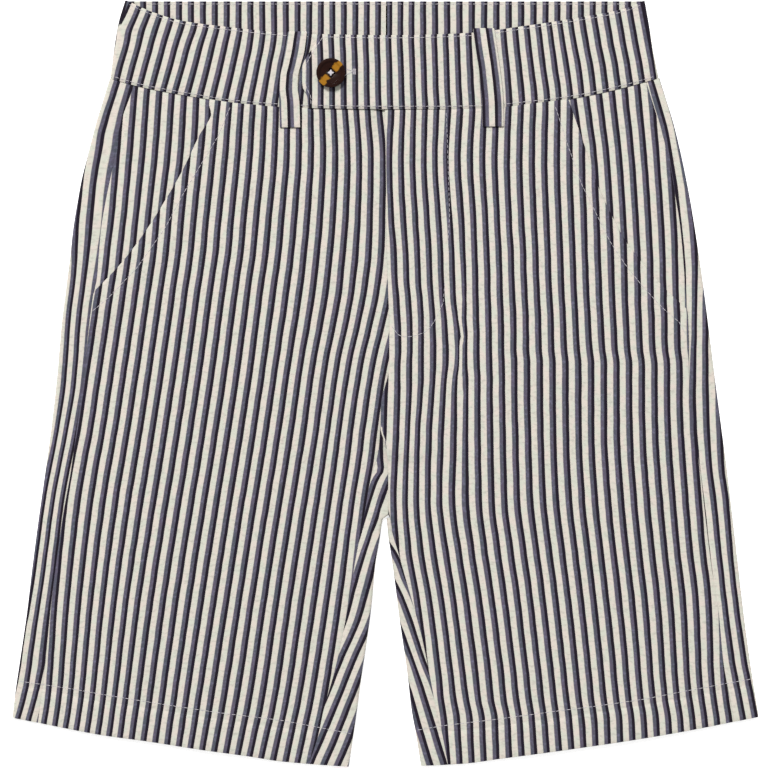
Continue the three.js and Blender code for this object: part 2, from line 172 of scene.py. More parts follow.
# Real yarns are 0.3 mm apart. The ones drawn are 0.9 mm, coarse enough to show as a faint grid in the render.
cream = blend(sharpened(cloth_noise(1.9, 1.1), 0.38, 0.62), CREAM_WARM, CREAM_COOL)
slub = add_node(seersucker, "ShaderNodeMath", {
    0: sharpened(cloth_noise(2.4, 4.5, 1.0), 0.5, 0.75), 1: 0.6}, operation="MULTIPLY")
cream = blend(slub.outputs["Value"], cream, CREAM_SLUB)
slate = blend(sharpened(cloth_noise(1.4, 0.5), 0.36, 0.64), SLATE_VIOLET, SLATE_BLUE)
slate = blend(sharpened(cloth_noise(4.0, 4.0, 1.0), 0.5, 0.8), slate, SLATE_SLUB)
dark = blend(cloth_noise(1.0, 0.5), DARK_NAVY, DARK_BROWN)
pattern = blend(coloured.outputs["Value"], cream, blend(in_dark.outputs["Result"], slate, dark))
seersucker.node_tree.links.new(pattern, shader.inputs["Base Color"])

YARN = 0.9 / REPEAT
weave = []
for axis in ("X", "Y"):
    turns = add_node(seersucker, "ShaderNodeMath", {0: split.outputs[axis], 1: 2 * math.pi / YARN},
                     operation="MULTIPLY")
    weave.append(add_node(seersucker, "ShaderNodeMath", {0: turns.outputs["Value"]}, operation="SINE"))
over_under = add_node(seersucker, "ShaderNodeMath", {
    0: weave[0].outputs["Value"], 1: weave[1].outputs["Value"]}, operation="MULTIPLY")
pucker = add_node(seersucker, "ShaderNodeMath", {
    0: cloth_noise(0.8, 1.4), 1: 6.0, 2: over_under.outputs["Value"]}, operation="MULTIPLY_ADD")
relief = add_node(seersucker, "ShaderNodeBump", {
    "Height": pucker.outputs["Value"], "Strength": 0.35, "Distance": 0.00004})
seersucker.node_tree.links.new(relief.outputs["Normal"], shader.inputs["Normal"])


# Back panels: one piece of seersucker for each leg, flat on the floor, with its outer edge and, below the
# crotch, its inner edge folded up over the front as far as the side seam and the inseam.
def table(columns, *rows):
    """Rows of sizes under named columns"""
    return {name: np.array(values, float) for name, values in zip(columns.split(), zip(*rows))}


def curve(sizes, key, column):
    """A smooth line through one column, straight beyond both ends, with no overshoot between rows"""
    order = np.argsort(sizes[key])
    at, value = sizes[key][order], sizes[column][order]
    step = np.diff(value) / np.diff(at)
    product, total = step[:-1] * step[1:], step[:-1] + step[1:]
    bend = np.where(product > 0, 2 * product / np.where(total == 0, 1, total), 0)
    slope = np.concatenate([step[:1], bend, step[-1:]])

    def read(x):
        x = np.asarray(x, float)
        i = np.clip(np.searchsorted(at, x, side="right") - 1, 0, len(at) - 2)
        span = at[i + 1] - at[i]
        t = np.clip((x - at[i]) / span, 0, 1)
        start = (1 + 2 * t) * (1 - t) ** 2
        curved = t * (1 - t) ** 2 * span * slope[i] - t * t * (1 - t) * span * slope[i + 1]
        beyond = slope[0] * np.minimum(x - at[0], 0) + slope[-1] * np.maximum(x - at[-1], 0)
        return start * value[i] + (1 - start) * value[i + 1] + curved + beyond
    return read


def stripe_number(edges, x, height):
    """How many repeats lie left of x. The columns are numbered edges, dark to cream, with their X at each height"""
    names = sorted((name for name in edges if name != "height"), key=float)
    numbers = [float(name) for name in names]
    places = [curve(edges, "height", name)(height) for name in names]
    start, end = places[1] - places[0], places[-1] - places[-2]
    count = numbers[0] + np.minimum(x - places[0], 0) / start * (numbers[1] - numbers[0])
    for i in range(len(numbers) - 1):
        part = np.clip((x - places[i]) / (places[i + 1] - places[i]), 0, 1)
        count = count + part * (numbers[i + 1] - numbers[i])
    return count + np.maximum(x - places[-1], 0) / end * (numbers[-1] - numbers[-2])


CLOTH = 0.9
BACK_LEVEL, TOP_LEVEL = 0.6, 2.8
BACK_TOP = 207.2
CENTRE_TOP, CENTRE_BOTTOM, HEM_STITCH = 148.5, -206.5, -188.4
HEM_PLY, PLY_STEP = 0.3, 1.2
STITCH_DIP, STITCH_DIP_WIDTH = 0.22, 1.3
EDGE_ROUNDING = 0.3
WAIST_SEAM = table(
    "x height", (-150, 165.5), (-132, 160.5), (-105, 155.5), (-78, 151.5), (-36, 149), (1, 148.5), (49, 149),
    (78, 151.5), (101, 154.5), (127, 160), (147, 165.5))
waist_seam = curve(WAIST_SEAM, "x", "height")

# Each leg's edges as distances outward from the centre line
OUTER_RIGHT = table(
    "height edge seam", (154.5, 153, 139), (141.5, 157, 143.5), (122, 162, 147), (110, 165, 149.5), (103, 166.3, 151),
    (83.5, 169.5, 154.3), (70, 171, 155.5), (57.5, 172.6, 156.5), (50, 173.5, 158), (31.5, 175.8, 160.5),
    (5.5, 178, 163.5), (-20.5, 180.9, 167), (-46.5, 184.4, 170.5), (-72, 188, 175), (-98, 191.4, 178.7),
    (-124, 194.5, 181.8), (-150, 198.3, 184), (-165, 200.5, 186), (-180, 202.3, 188))
INNER_RIGHT = table(
    "height fold inseam", (-24, -1.2, 3.3), (-32, -1.4, 3.9), (-41, -1.5, 5.4), (-46, -1.6, 7.1), (-54.5, -1.8, 9.3),
    (-60, -1.9, 10.3), (-66, -1.6, 11.3), (-70, -1.4, 12), (-72.5, 2, 12.6), (-83, 3.7, 14.5), (-98, 6.2, 17.3),
    (-116, 7.8, 20), (-136, 10.3, 23.8), (-156, 13.3, 28.3), (-176, 16, 34), (-190, 18, 37), (-206.5, 20.5, 42.5))
HEM_RIGHT = table(
    "out height", (20.5, -206.5), (57, -203.6), (75, -200.7), (101, -197), (128, -192.8), (155, -189), (202, -180))
OUTER_LEFT = table(
    "height edge seam", (154.5, 151, 143), (141.5, 155, 147), (122, 159.7, 152.5), (103, 163.5, 155.8),
    (83.5, 166.8, 158.8), (57.5, 170.6, 161), (31.5, 174, 162.7), (5.5, 177.2, 163.5), (-20.5, 180.6, 165.7),
    (-46.5, 184, 169.5), (-72, 187, 172.3), (-98, 190, 175.5), (-124, 193, 179.5), (-150, 196.5, 182),
    (-180, 201.2, 187.5))
INNER_LEFT = table(
    "height fold inseam", (-32, 0.2, -0.7), (-36, 0.2, -0.1), (-40, 0.2, 0.4), (-46, 0.2, 0.8), (-66, 0.1, 1),
    (-72, 0.1, 1.9), (-83, 1, 3.8), (-88, 1.8, 5.4), (-95, 2.8, 7.4), (-107, 4.5, 10.8), (-121, 6.2, 14.8),
    (-136, 8.3, 18.8),
    (-156, 11.2, 23), (-176, 13.5, 26.8), (-190, 16, 30.2), (-206, 18.5, 33.2))
HEM_LEFT = table(
    "out height", (18.5, -206), (42, -204.8), (61, -202.2), (107, -195.8), (145, -190), (169, -185.8), (202, -179.3))

# Where stripes lie on what shows of the backs: beside the side seams and inside the inseams
SIDE_STRIPES_RIGHT = table(
    "height -3 -2 -1", (163, -151, -144, -136.5), (153.5, -154, -147, -139), (142, -158, -150.5, -141.5),
    (136.5, -159.5, -152, -142.5), (125.5, -161, -154, -144), (114, -163, -156, -146.5), (97, -165, -158, -148.5),
    (80, -166.5, -159.5, -150.5), (67, -167, -161, -153), (35, -170.5, -165, -158.5), (2, -173, -167.5, -162.5),
    (-25, -177, -172, -167), (-62, -184, -179, -174), (-106, -190, -185, -179.5), (-139, -195.5, -190, -183.5),
    (-150, -197, -191.5, -184.5), (-162, -199, -193, -187), (-174.5, -202, -196, -190), (-180, -203.5, -197.5, -191.5))
SIDE_STRIPES_LEFT = table(
    "height 21 22 23", (163, 144.5, 151, 157.5), (151, 148, 155, 161.5), (136.5, 152, 158.5, 165.5),
    (119.5, 155, 162, 169), (103, 157.5, 165, 172), (80, 160, 167.5, 173.5), (63, 161.5, 168, 173.5),
    (35, 162, 167.5, 173.5), (-8, 160, 167, 174), (-41, 162.5, 169, 175.5), (-62, 165, 171.5, 178),
    (-106, 170, 176.5, 182.5), (-149, 175.5, 181.5, 188), (-170, 179, 185.5, 192), (-203, 185, 191.5, 198))
# From height -22 to -38 the right inseam's stripes put slate and dark in the gap beside the fly's lower end: partly
# the real stripe, partly painted shade for the shadow there
INSEAM_STRIPES_RIGHT = table(
    "height -35 -34 -33 -32", (-22, -12, -2.5, 4, 10.5), (-32, -11.5, -2, 4, 10.5), (-38, -9.5, -2, 4.5, 11),
    (-46, -8, -1.5, 5, 13), (-51, -11, -4.2, 2.7, 12), (-56, -13, -6.2, 0.5, 11), (-62, -14.5, -8, -1.8, 9),
    (-70, -17, -10.5, -4, 7), (-77, -18.5, -12.5, -6.5, 3), (-84, -20, -14.5, -9, -1.2),
    (-89, -22.5, -16.5, -10.5, -3.2), (-96, -26, -19, -12.5, -5.5), (-106, -30, -22.5, -15.5, -8),
    (-127, -35, -28, -21, -14), (-149, -45, -37.5, -30.5, -23.5), (-170.5, -53, -46, -39, -32),
    (-192, -63.5, -56, -49, -41.5), (-205, -69.5, -62, -54.5, -47))
INSEAM_STRIPES_LEFT = table(
    "height 52 53 54", (-72, -14, -7.5, -0.5), (-78, -13.5, -7, -0.5), (-84, -13.5, -6.5, 1),
    (-88.5, -10.5, -3, 4), (-93, -7, -0.3, 6.5), (-99, -4, 2.6, 9), (-104.5, -2, 4.5, 10.8), (-109, 0, 6.5, 12.8),
    (-114.5, 2.5, 9, 15.5), (-123, 5.5, 12.5, 19),
    (-127, 7, 14, 20.5), (-148, 14.5, 20.5, 27), (-163.5, 20, 27, 34), (-181, 25.5, 33, 40.5), (-204.5, 32.5, 40, 48))

LEGS = {
    "right": {"side": -1, "fold_start": -24, "hem_from": 20.5,
              "side_stripes": SIDE_STRIPES_RIGHT, "inseam_stripes": INSEAM_STRIPES_RIGHT},
    "left": {"side": 1, "fold_start": -72.4, "hem_from": 18.5,
             "side_stripes": SIDE_STRIPES_LEFT, "inseam_stripes": INSEAM_STRIPES_LEFT}}
for leg_name, outer_sizes, inner_sizes, hem_sizes in (
        ("right", OUTER_RIGHT, INNER_RIGHT, HEM_RIGHT), ("left", OUTER_LEFT, INNER_LEFT, HEM_LEFT)):
    LEGS[leg_name].update(
        edge=curve(outer_sizes, "height", "edge"), side_seam=curve(outer_sizes, "height", "seam"),
        fold=curve(inner_sizes, "height", "fold"), inseam=curve(inner_sizes, "height", "inseam"),
        hem=curve(hem_sizes, "out", "height"))

# The rows of cloth by their height on the centre line, closer together at both ends and at the hem stitching.
# A row bends up towards the sides.
ROWS = np.concatenate([
    [148.5, 148.1, 147.5, 146.6, 145], np.arange(142.5, -186, -2.5), [-187, -187.9, -188.4, -188.9, -190],
    np.arange(-192.5, -203, -2.5), [-204.2, -205.3, -206.1, -206.5]])[:, None]


def smooth(t):
    """A soft step that rises from 0 to 1 as t does"""
    t = np.clip(t, 0, 1)
    return t * t * (3 - 2 * t)


def row_height(leg, row, out):
    """How high a row stands at a distance outward, between the curves of the waist seam and the hem"""
    hem = leg["hem"](np.maximum(out, leg["hem_from"]))
    share = (CENTRE_TOP - row) / (CENTRE_TOP - CENTRE_BOTTOM)
    top = waist_seam(leg["side"] * out)
    return top + (hem - top) * share


def crossing(leg, edge, rows=ROWS):
    """Where each row crosses an edge whose distance outward depends on height"""
    out = edge(rows)
    for _ in range(8):
        out = edge(row_height(leg, rows, out))
    return out


def seam_dip(distance, depth=0.35, width=1.6):
    """How far cloth rolls down towards its edge"""
    return -depth * (1 - smooth(distance / width))


def ends_dip(rows):
    """The same at the waist seam and at the hem"""
    return seam_dip(CENTRE_TOP - rows) + seam_dip(rows - CENTRE_BOTTOM)


def hem_rise(rows):
    """Cloth is turned up inside the hem, so it stands higher below the hem stitching, which pulls it down"""
    ply = HEM_PLY * smooth((HEM_STITCH - rows) / PLY_STEP)
    return ply - STITCH_DIP * np.exp(-((rows - HEM_STITCH) / STITCH_DIP_WIDTH) ** 2)


def select_only(piece):
    """Makes one object the only selected one, and the active one"""
    bpy.ops.object.select_all(action="DESELECT")
    piece.select_set(True)
    bpy.context.view_layer.objects.active = piece


def new_piece(name, corners, faces, material):
    """An object from corners in millimetres and the faces between them, selected on its own"""
    mesh = bpy.data.meshes.new(name)
    mesh.from_pydata((corners * MM).tolist(), [], faces)
    mesh.materials.append(material)
    piece = bpy.data.objects.new(name, mesh)
    bpy.context.scene.collection.objects.link(piece)
    select_only(piece)
    return piece


def sheet_of_cloth(name, out, height, level, number, side, keep=None, thickness=CLOTH):
    """A sheet from a grid of middle points, with its stripes as a UV map, its thickness, and rounded edges"""
    points = np.stack([side * out, height, level], -1)
    index = np.arange(out.size).reshape(out.shape)
    cells = np.stack([index[:-1, :-1], index[:-1, 1:], index[1:, 1:], index[1:, :-1]], -1)
    cells = cells[keep] if keep is not None else cells.reshape(-1, 4)
    if side > 0:
        cells = cells[:, ::-1]
    used, renumbered = np.unique(cells, return_inverse=True)
    corners = points.reshape(-1, 3)[used]
    across, down = (corners[renumbered.reshape(-1, 4)[:, a]] - corners[renumbered.reshape(-1, 4)[:, b]]
                    for a, b in ((2, 0), (3, 1)))
    cut_area = 0.5 * np.linalg.norm(np.cross(across, down), axis=1).sum()
    piece = new_piece(name, corners, renumbered.reshape(-1, 4).tolist(), seersucker)
    places = np.stack([number.ravel(), height.ravel() / REPEAT], -1)[cells.ravel()]
    piece.data.uv_layers.new(name="stripes").data.foreach_set("uv", places.ravel())
    wall = piece.modifiers.new("thickness", "SOLIDIFY")
    wall.thickness, wall.offset = thickness * MM, 0
    rounding = piece.modifiers.new("edges", "BEVEL")
    rounding.width, rounding.segments, rounding.limit_method = EDGE_ROUNDING * thickness * MM, 2, "ANGLE"
    rounding.angle_limit = math.radians(55)
    for modifier in [m.name for m in piece.modifiers]:
        bpy.ops.object.modifier_apply(modifier=modifier)
    bpy.ops.object.shade_smooth_by_angle(angle=math.radians(50))
    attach(piece, "root")
    return piece, cut_area * MM * MM


# Above where the legs part, the right leg's inner fold is pressed down and lies under the left front's edge,
# and the left back starts beside it
PRESSED, LEFT_BACK_STARTS = 1.2, 2.6
LEGS_PART, PART_FADE = -74, 12
FOLD_ENDS, END_FADE = -16, 6


def beside_the_other_leg(height):
    """1 where the right leg's fold lies beside the left back, and 0 below and above"""
    return smooth((height - LEGS_PART) / PART_FADE) * smooth((FOLD_ENDS - height) / END_FADE)


FOLD_RADIUS = (TOP_LEVEL - BACK_LEVEL) / 2
TURNS = np.radians(np.linspace(90, -90, 11))
UNDERSIDE = np.linspace(0, 1, 64)[1:-1]
INNER_STRIP = np.array([1, 0.82, 0.6, 0.3])
OUTER_STRIP = np.array([0.12, 0.3, 0.5, 0.7, 0.86, 0.94, 1])
CROTCH_ROWS_FROM = -72

for leg_name, leg in LEGS.items():
    side = leg["side"]
    folded = ROWS <= leg["fold_start"]
    reach = FOLD_RADIUS + CLOTH / 2
    pressed = PRESSED * beside_the_other_leg(ROWS) if side < 0 else 0 * ROWS
    inner_radius = FOLD_RADIUS - pressed / 2
    beside = 0 * ROWS if side < 0 else LEFT_BACK_STARTS * beside_the_other_leg(ROWS)
    inner = np.where(folded, crossing(leg, leg["fold"]) + inner_radius + CLOTH / 2, beside)
    inner_seam = np.where(folded, crossing(leg, leg["inseam"]), inner)
    outer = crossing(leg, leg["edge"]) - reach
    outer_seam = crossing(leg, leg["side_seam"])
    half_turn = FOLD_RADIUS * (math.pi / 2 - TURNS)
    turned = FOLD_RADIUS * np.cos(TURNS)
    fold_level = BACK_LEVEL + FOLD_RADIUS * (1 + np.sin(TURNS))
    inner_fold_level = BACK_LEVEL + inner_radius * (1 + np.sin(TURNS))
    out = np.concatenate([
        inner + INNER_STRIP * (inner_seam - inner), inner - inner_radius * np.cos(TURNS),
        inner + UNDERSIDE * (outer - inner), outer + turned[::-1],
        outer + OUTER_STRIP * (outer_seam - outer)], 1)
    height = row_height(leg, ROWS, out)

    # Stripes run on round each fold, and share the underside evenly between the two. Above the crotch they run
    # across it as they do at the crotch, to the centre back seam and to the lower half of the inner fold.
    on_top = slice(-len(OUTER_STRIP), None)
    on_strip = slice(0, len(INNER_STRIP))
    number = np.zeros_like(out)
    number[:, on_top] = stripe_number(leg["side_stripes"], side * out[:, on_top], height[:, on_top])
    number[:, on_strip] = stripe_number(leg["inseam_stripes"], side * out[:, on_strip], height[:, on_strip])
    edge_number = stripe_number(leg["side_stripes"], side * outer, row_height(leg, ROWS, outer))
    fold_number = stripe_number(leg["inseam_stripes"], side * inner, row_height(leg, ROWS, inner))
    outer_fold = edge_number + side * half_turn / REPEAT
    inner_fold = fold_number - side * half_turn / REPEAT
    first = np.argmax(ROWS[:, 0] <= CROTCH_ROWS_FROM)
    rate = (inner_fold[:, -1:] - outer_fold[:, -1:]) / (outer - inner)
    rate = np.where(ROWS <= CROTCH_ROWS_FROM, rate, rate[first])
    fold_from, fold_to = len(INNER_STRIP), len(INNER_STRIP) + len(TURNS)
    number[:, fold_from:fold_to] = inner_fold
    underside_end = outer_fold[:, -1:] + rate * (outer - inner)
    lower = len(TURNS) // 2
    number[:, fold_from + lower:fold_to] = underside_end + side * (half_turn[-1] - half_turn[lower:]) / REPEAT
    underside_to = fold_to + len(UNDERSIDE)
    number[:, fold_to:underside_to] = outer_fold[:, -1:] + rate * (outer - inner) * (1 - UNDERSIDE)
    number[:, underside_to:-len(OUTER_STRIP)] = outer_fold[:, ::-1]

    outer_level, inner_level = (TOP_LEVEL + seam_dip(np.abs(out - seam)) + hem_rise(ROWS) + ends_dip(ROWS)
                                for seam in (outer_seam, inner_seam))
    level = np.concatenate([
        inner_level[:, on_strip] - pressed * (1 - INNER_STRIP), inner_fold_level,
        np.full((len(ROWS), len(UNDERSIDE)), BACK_LEVEL),
        np.broadcast_to(fold_level[::-1], (len(ROWS), len(TURNS))), outer_level[:, on_top]], 1)

    inner_cells = np.arange(out.shape[1] - 1)[None, :] < fold_to - 1
    keep = ~(inner_cells & ~folded[:-1])
    piece, area = sheet_of_cloth(f"back_{leg_name}_cloth", out, height, level, number, side, keep)
    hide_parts(f"back_{leg_name}")


# Front panels: seersucker cut away at the top for the slanted pocket mouth. Each is sewn to its back at the side
# seam and inseam, and the left one laps over the right one down the fly to the crotch.
LIFT = 1.5
CROWN, CROWN_AT_WAIST, CROWN_WIDTH = 1.4, 0.4, 45
POCKET_UNDERLAP, POCKET_FADE = 12, 20
FLY_UNDERLAP, FLY_FADE, FLY_LIFT_END, FLY_LIFT_FADE = 10, 25, -44, 8
LIFT_MARGIN = 4
LIFT_UNDER_TAB, TAB_STARTS, TAB_ENDS, TAB_LIFT_FADE, TAB_LIFT_LENGTH = 1.2, 2, 50, 6, 14
SLACK, SLACK_FROM_EDGE = 0.15, 20
CENTRE_FRONT = table(
    "height lap under", (150, -1, 9), (126, -0.5, 9.5), (80, 0, 10), (46, 1, 11), (33, 1.5, 6), (10, 1.5, 4.5),
    (-11, -3, 0.5), (-24, -3.2, -3.3), (-32, -0.7, -3.9))
MOUTH_RIGHT = table(
    "height out", (154, 95.6), (149, 95.8), (147, 94.4), (134, 101.2), (116, 109.8), (103, 117.2), (82, 130.5),
    (65, 143.5), (50.5, 157.5))
MOUTH_LEFT = table(
    "height out", (154, 98), (131, 106), (107, 114), (91, 121.5), (78, 128.5), (65.5, 138), (50.5, 151.5),
    (41, 161.5))
FRONT_STRIPES_RIGHT = table(
    "height 0 6 12 18 20 22", (150, -137, -96, -58, -21, -9, 3.5), (121, -140, -99, -59, -19.5, -7, 6.5),
    (89, -142.5, -102.5, -62, -20.5, -7.5, 6), (72, -144, -104, -63.5, -22, -8, 5.5),
    (51, -147, -107, -66.5, -24, -10.5, 3), (8, -153.5, -113, -72, -32, -19.5, -6.5),
    (-25, -158.5, -118, -77, -36.5, -24.5, -11.5), (-41, -161.5, -120.5, -79.5, -39, -26.5, -13.5),
    (-62, -165, -124, -83, -42.5, -29.5, -17), (-116, -171, -132.5, -91.5, -51, -37.5, -24),
    (-170, -175.5, -139.5, -100, -59, -46, -32.5), (-192, -179, -142.5, -103.5, -64, -50.5, -37.5))
FRONT_STRIPES_LEFT = table(
    "height -3 -2 0 2 3 3.5 4 8 14 20", (150, -2.5, 4.5, 16, 28.5, 35, 38, 41.5, 67.5, 107, 147),
    (121, -3, 3, 15.5, 27.5, 33.5, 36.5, 40, 66.5, 107, 147.5), (89, -2, 4, 17, 29.5, 35.5, 38.5, 42, 67.5, 108, 149),
    (72, -1.5, 5.5, 18, 30.5, 36.5, 39.5, 42.5, 68.5, 108.5, 150.5),
    (56, -0.5, 6, 18.5, 31, 37, 40.5, 43, 69, 109, 151), (45, 0, 7, 19.5, 31.5, 37.5, 41, 43, 69.5, 109.5, 151),
    (36, 0.5, 7.5, 20, 32.5, 39, 40.5, 43, 70, 110, 151.5), (28, 1, 8, 20, 33, 40, 40.7, 43.5, 70, 110.5, 151.5),
    (19, 1, 8, 20, 33.5, 40.3, 40.9, 43.5, 70, 111, 152), (11, 1, 7.5, 20, 33.5, 39.7, 40.6, 43.5, 70.5, 112, 153),
    (3, 1, 7.5, 20, 32.5, 38.5, 41, 44, 70.5, 112, 153), (-6, 0.5, 7.5, 19.5, 32, 38, 41.5, 44, 70.5, 112, 153),
    (-25, 0, 7, 18, 31, 38, 41, 44, 71, 112, 153.5),
    (-62, -1.5, 5.5, 17.5, 30, 37, 40.5, 44.5, 72, 114, 156), (-90, 0, 7, 20, 33.5, 40.5, 44, 47.5, 75.5, 117, 158.5),
    (-116, 4.5, 11.5, 24.5, 37.5, 44.5, 48, 51.5, 79, 120, 161.5), (-143, 8, 15, 28, 41, 48, 51.5, 55, 82, 123, 163),
    (-155, 9, 16, 29.5, 42.5, 49.5, 53, 56.5, 83.5, 124, 163.5),
    (-170, 10.5, 17.5, 31, 44.5, 51, 54.5, 58, 85, 125.5, 165),
    (-180, 12, 19, 32.5, 46.5, 53, 56.5, 60, 86.5, 127, 166.5),
    (-192, 13.5, 20.5, 33.5, 47, 53.5, 57, 60.5, 87.5, 127.5, 167.5))
LEGS["right"].update(mouth=curve(MOUTH_RIGHT, "height", "out"), front_stripes=FRONT_STRIPES_RIGHT,
                     centre=curve(CENTRE_FRONT, "height", "under"))
LEGS["left"].update(mouth=curve(MOUTH_LEFT, "height", "out"), front_stripes=FRONT_STRIPES_LEFT,
                    centre=curve(CENTRE_FRONT, "height", "lap"))
CROTCH = -32
# Between these heights the lap's folded edge gets a painted highlight: a thin cream line taken from the middle of a
# cream stripe
LAP_HIGHLIGHT_HEIGHTS, MID_CREAM = (-23.5, -34), 0.2
NEAR_EDGE = np.array([0, 0.5, 1.1, 1.9, 3])


def front_inner(leg):
    """The front's inner edge: down the fly to the crotch, then down the inseam"""
    return lambda height: np.where(height < CROTCH, leg["inseam"](height), leg["side"] * leg["centre"](height))


def front_outer(leg):
    """The front's outer edge: down the pocket mouth, then down the side seam"""
    return lambda height: np.minimum(leg["mouth"](height), leg["side_seam"](height))


def front_level(leg, out, height):
    """The front rises over the pocket facing, the fly and, on the right, below the tab, with a soft crown between"""
    from_inner = out - front_inner(leg)(height)
    pocket = LIFT * (1 - smooth((leg["mouth"](height) - out - POCKET_UNDERLAP - LIFT_MARGIN) / POCKET_FADE))
    fly = LIFT * smooth((height - FLY_LIFT_END) / FLY_LIFT_FADE)
    fly = fly * (1 - smooth((from_inner - FLY_UNDERLAP - LIFT_MARGIN) / FLY_FADE))
    if leg["side"] < 0:
        under_tab = smooth((out - TAB_STARTS) / TAB_LIFT_FADE) * smooth((TAB_ENDS - out) / TAB_LIFT_FADE)
        fly = LIFT_UNDER_TAB * under_tab * smooth((height - waist_seam(-out)) / TAB_LIFT_LENGTH + 1)
    across = smooth((from_inner - FLY_UNDERLAP) / CROWN_WIDTH)
    across = across * smooth((front_outer(leg)(height) - out) / CROWN_WIDTH)
    down = smooth((waist_seam(leg["side"] * out) - height) / CROWN_WIDTH)
    crown = CROWN * across * (CROWN_AT_WAIST + (1 - CROWN_AT_WAIST) * down)
    return TOP_LEVEL + (pocket ** 4 + fly ** 4 + crown ** 4) ** 0.25


def slack(x, height):
    """Long shallow waves of cloth that lies loose"""
    wave = np.sin(x / 13 + height / 47) * np.sin(height / 31 - x / 59) + 0.6 * np.sin(x / 7.5 - height / 83 + 1)
    return SLACK * wave


for leg_name, leg in LEGS.items():
    side = leg["side"]
    inner, outer = crossing(leg, front_inner(leg)), crossing(leg, front_outer(leg))
    middle = np.linspace(0, 1, 56)[1:-1]
    out = np.concatenate([
        inner + NEAR_EDGE, inner + NEAR_EDGE[-1] + middle * (outer - inner - 2 * NEAR_EDGE[-1]),
        outer - NEAR_EDGE[::-1]], 1)
    height = row_height(leg, ROWS, out)
    from_edge = np.minimum(out - inner, outer - out)
    over_fold = beside_the_other_leg(height) if side > 0 else 0 * height
    level = front_level(leg, out, height) + ends_dip(ROWS) + hem_rise(ROWS)
    level = level + np.minimum(seam_dip(outer - out), seam_dip(out - inner) * (1 - over_fold))
    loose = smooth(from_edge / SLACK_FROM_EDGE) * smooth((CENTRE_TOP - ROWS) / SLACK_FROM_EDGE)
    level = level + slack(side * out, height) * loose
    number = stripe_number(leg["front_stripes"], side * out, height)
    if side > 0:
        # Painted highlight: the first two columns along the lap's edge are painted mid cream
        painted_edge_highlight = (height[:, :2] < LAP_HIGHLIGHT_HEIGHTS[0]) & (height[:, :2] > LAP_HIGHLIGHT_HEIGHTS[1])
        number[:, :2] = np.where(painted_edge_highlight, np.floor(number[:, :2]) + MID_CREAM, number[:, :2])
    piece, area = sheet_of_cloth(f"front_{leg_name}_cloth", out, height, level, number, side)
    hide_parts(f"front_{leg_name}")


# Pocket facings: the cloth behind each pocket mouth, sewn in with the side seam and the waist seam. Their
# stripes don't quite meet the fronts' stripes.
FACING_LEAST_WIDTH = 8
NEAR_SIDE_SEAM = np.array([2.4, 1.6, 0.9, 0.4, 0])
FACING_STRIPES_RIGHT = table(
    "height 0 4", (151, -135, -108), (126, -137, -109.5), (99, -139.5, -113), (67, -143, -116))
FACING_STRIPES_LEFT = table("height 16 20", (151, 117, 145), (121, 120.5, 147.5), (72, 123.5, 150.5), (51, 124.5, 151))
LEGS["right"].update(facing_end=22, facing_stripes=FACING_STRIPES_RIGHT)
LEGS["left"].update(facing_end=13, facing_stripes=FACING_STRIPES_LEFT)

for leg_name, leg in LEGS.items():
    side = leg["side"]
    rows = ROWS[ROWS[:, 0] >= leg["facing_end"]]
    outer = crossing(leg, leg["side_seam"], rows)
    underlap = crossing(leg, lambda height: leg["mouth"](height) - POCKET_UNDERLAP, rows)
    inner = np.minimum(underlap, outer - FACING_LEAST_WIDTH)
    across = np.linspace(0, 1, 24) * (outer - inner - NEAR_SIDE_SEAM[0])
    out = np.concatenate([inner + across, outer - NEAR_SIDE_SEAM[1:]], 1)
    height = row_height(leg, rows, out)
    level = TOP_LEVEL + seam_dip(outer - out) + seam_dip(CENTRE_TOP - rows)
    number = stripe_number(leg["facing_stripes"], side * out, height)
    piece, area = sheet_of_cloth(f"pocket_facing_{leg_name}_cloth", out, height, level, number, side)
    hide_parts(f"pocket_facing_{leg_name}")


# Waistband: a doubled strip of seersucker in two halves. Each runs from centre back round its side to the front,
# where the left half ends in a pointed tab that laps over the right half and buttons to it.
BAND_CLOTH, BAND_HALF = 1.5, 0.9
BAND_LEVEL, TAB_LEVEL = 3.4, 5.1
BAND_UNDERLAP_END, TAB_MARGIN = 8, 3
BACK_LAP = 0.4
INSIDE_COLUMNS, INSIDE_DIP = 53, -0.5
BAND_TOP = table(
    "x height", (-140.5, BACK_TOP), (-127, 201), (-110, 196), (-88, 193), (-60, 190), (-36, 188.7), (0, 188),
    (44, 189.5), (76, 193.5), (105, 198), (128, 202.5), (140, BACK_TOP))
TAB_END = table(
    "share x", (0, -42.2), (0.16, -42.6), (0.27, -45), (0.33, -45.3), (0.56, -45.2), (0.62, -44.3), (0.9, -37.4),
    (1, -35))
BAND_EDGE_RIGHT = table("height edge", (167.5, 149), (180.5, 147.2), (193.5, 145), (BACK_TOP, 141.3))
BAND_EDGE_LEFT = table("height edge", (167.5, 146.6), (180.5, 143.9), (193.5, 141.9), (BACK_TOP, 139.5))
LEGS["right"].update(band_edge=curve(BAND_EDGE_RIGHT, "height", "edge"),
                     band_end=lambda share: 0 * share - BAND_UNDERLAP_END)
LEGS["left"].update(band_edge=curve(BAND_EDGE_LEFT, "height", "edge"), band_end=curve(TAB_END, "share", "x"))
band_top = curve(BAND_TOP, "x", "height")
BAND_ROWS = np.concatenate([[0, 0.01, 0.025, 0.045], np.linspace(0.08, 0.92, 15), [0.955, 0.975, 0.99, 1]])[:, None]

